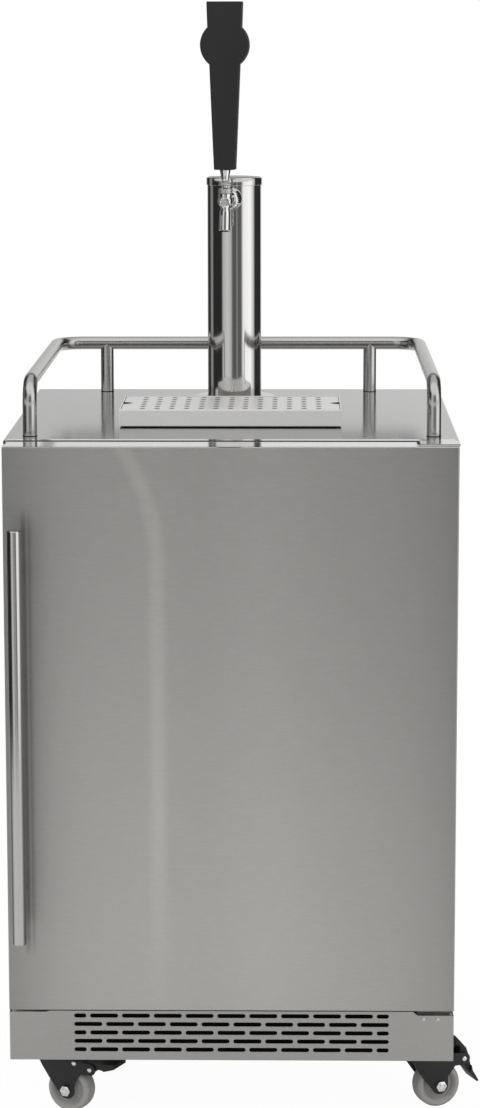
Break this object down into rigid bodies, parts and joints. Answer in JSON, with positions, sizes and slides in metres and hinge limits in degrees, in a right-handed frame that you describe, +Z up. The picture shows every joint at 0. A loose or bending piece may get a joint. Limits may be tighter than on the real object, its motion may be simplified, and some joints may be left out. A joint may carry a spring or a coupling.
{
  "type": "kegerator",
  "caption": "Stainless kegerator on swivel casters: hinged door with bar handle, slotted kick panel, guard rail, drip tray, beer tower with faucet and paddle tap handle.",
  "frame": {"origin": "on the floor under the wheels, at the middle of the footprint's bounding box", "axes": "+Z up, the door faces -Y, +X to the right as one looks at the door"},
  "size_m": [0.6374, 0.7114, 1.4918],
  "materials": {
    "stainless": "brushed across, satin",
    "polished_steel": "polished",
    "chrome": "mirror",
    "zinc": "zinc plated",
    "dark_steel": "galvanised and painted",
    "black_paint": "satin black",
    "black_plastic": "satin",
    "wheel_rubber": "grey",
    "white_plastic": "moulded, satin",
    "foam": "rigid foam",
    "aluminium": "satin",
    "brass": "satin",
    "clear_hose": "clear",
    "red_hose": "red",
    "seal_rubber": "soft black"
  },
  "bodies": {
    "cabinet": {"side_panel_left": "stainless", "side_panel_right": "stainless", "rear_panel": "dark_steel", "base_pan": "dark_steel", "insulation": "foam", "liner": "white_plastic", "worktop": "polished_steel", "kick_panel": "stainless", "guard_rail": "polished_steel", "tower_flange": "polished_steel", "tower_column": "polished_steel", "tower_cap": "polished_steel", "beer_shank": "chrome", "faucet_body": "chrome", "faucet_nut": "chrome", "faucet_bonnet": "chrome", "top_hinge": "zinc", "bottom_hinge": "zinc", "compressor": "black_paint", "condenser": "aluminium", "evaporator_cover": "white_plastic", "control_panel": "black_plastic", "gas_cylinder": "aluminium", "regulator": "brass", "gas_hose": "red_hose", "beer_line": "clear_hose", "keg_coupler": "chrome", "tray_pad": "black_plastic"},
    "door": {"door_panel": "stainless", "door_foam": "foam", "door_liner": "white_plastic", "door_gasket": "seal_rubber", "handle_bar": "polished_steel", "handle_post_upper": "polished_steel", "handle_post_lower": "polished_steel"},
    "tap": {"faucet_lever": "chrome", "tap_ferrule": "chrome", "tap_handle": "black_plastic"},
    "plunger": {"faucet_plunger": "chrome"},
    "tray": {"drip_tray": "stainless"},
    "grid": {"drip_grid": "stainless"},
    "fan": {"evaporator_fan": "black_plastic"},
    "valve_wheel": {"gas_valve_wheel": "black_plastic"},
    "knob": {"regulator_knob": "black_plastic"},
    "coupler_lever": {"coupler_handle": "black_plastic"},
    "caster_front_left": {"caster_fork_front_left": "black_paint", "caster_axle_front_left": "zinc"},
    "wheel_front_left": {"caster_wheel_front_left": "wheel_rubber"},
    "caster_front_right": {"caster_fork_front_right": "black_paint", "caster_axle_front_right": "zinc"},
    "wheel_front_right": {"caster_wheel_front_right": "wheel_rubber"},
    "caster_rear_left": {"caster_fork_rear_left": "black_paint", "caster_axle_rear_left": "zinc"},
    "wheel_rear_left": {"caster_wheel_rear_left": "wheel_rubber"},
    "caster_rear_right": {"caster_fork_rear_right": "black_paint", "caster_axle_rear_right": "zinc"},
    "wheel_rear_right": {"caster_wheel_rear_right": "wheel_rubber"},
    "pedal_front_left": {"brake_pedal_front_left": "black_paint"},
    "pedal_front_right": {"brake_pedal_front_right": "black_paint"}
  },
  "joints": [
    {"name": "door_hinge", "type": "hinge", "parent": "cabinet", "child": "door", "pos_m": [0.26634, -0.26605, 0], "axis": [0, 0, 1], "range_deg": [0, 110]},
    {"name": "tap_lever", "type": "hinge", "parent": "cabinet", "child": "tap", "pos_m": [-0.03109, 0.01632, 1.233], "axis": [0.9943, -0.1063, 0], "range_deg": [0, 30]},
    {"name": "plunger_slide", "type": "slide", "parent": "cabinet", "child": "plunger", "axis": [0.1063, 0.9943, 0], "range_m": [0, 0.0056]},
    {"name": "tray_lift", "type": "slide", "parent": "cabinet", "child": "tray", "axis": [0, 0, 1], "range_m": [0, 0.06]},
    {"name": "grid_lift", "type": "slide", "parent": "tray", "child": "grid", "axis": [0, 0, 1], "range_m": [0, 0.05]},
    {"name": "fan_spin", "type": "hinge", "parent": "cabinet", "child": "fan", "pos_m": [0.05634, 0.24145, 0.7679], "axis": [0, 1, 0], "continuous": true},
    {"name": "valve_turn", "type": "hinge", "parent": "cabinet", "child": "valve_wheel", "pos_m": [-0.19666, 0.23295, 0.7508], "axis": [0, 0, 1], "range_deg": [0, 540]},
    {"name": "pressure_screw", "type": "hinge", "parent": "cabinet", "child": "knob", "pos_m": [-0.12248, 0.20365, 0.7285], "axis": [0, 1, 0], "range_deg": [-360, 360]},
    {"name": "coupler_lever_pivot", "type": "hinge", "parent": "cabinet", "child": "coupler_lever", "pos_m": [0.11134, 0.20425, 0.38838], "axis": [0, 1, 0], "range_deg": [0, 80]},
    {"name": "swivel_front_left", "type": "hinge", "parent": "cabinet", "child": "caster_front_left", "pos_m": [-0.26666, -0.21625, 0], "axis": [0, 0, 1], "continuous": true},
    {"name": "roll_front_left", "type": "hinge", "parent": "caster_front_left", "child": "wheel_front_left", "pos_m": [-0.23766, -0.22977, 0.0315], "axis": [0.4226, 0.9063, 0], "continuous": true},
    {"name": "brake_front_left", "type": "hinge", "parent": "caster_front_left", "child": "pedal_front_left", "pos_m": [-0.20503, -0.24499, 0.0655], "axis": [0.4226, 0.9063, 0], "range_deg": [0, 55]},
    {"name": "swivel_front_right", "type": "hinge", "parent": "cabinet", "child": "caster_front_right", "pos_m": [0.22934, -0.21625, 0], "axis": [0, 0, 1], "continuous": true},
    {"name": "roll_front_right", "type": "hinge", "parent": "caster_front_right", "child": "wheel_front_right", "pos_m": [0.25901, -0.20426, 0.0315], "axis": [-0.3746, 0.9272, 0], "continuous": true},
    {"name": "brake_front_right", "type": "hinge", "parent": "caster_front_right", "child": "pedal_front_right", "pos_m": [0.29239, -0.19078, 0.0655], "axis": [-0.3746, 0.9272, 0], "range_deg": [-55, 0]},
    {"name": "swivel_rear_left", "type": "hinge", "parent": "cabinet", "child": "caster_rear_left", "pos_m": [-0.26666, 0.31975, 0], "axis": [0, 0, 1], "continuous": true},
    {"name": "roll_rear_left", "type": "hinge", "parent": "caster_rear_left", "child": "wheel_rear_left", "pos_m": [-0.23536, 0.3264, 0.0315], "axis": [-0.2079, 0.9781, 0], "continuous": true},
    {"name": "swivel_rear_right", "type": "hinge", "parent": "cabinet", "child": "caster_rear_right", "pos_m": [0.22934, 0.31975, 0], "axis": [0, 0, 1], "continuous": true},
    {"name": "roll_rear_right", "type": "hinge", "parent": "caster_rear_right", "child": "wheel_rear_right", "pos_m": [0.26039, 0.31201, 0.0315], "axis": [0.2419, 0.9703, 0], "continuous": true}
  ],
  "couplings": [
    {"joint": "plunger_slide", "follows": "tap_lever", "m_per_rad": 0.0105}
  ]
}
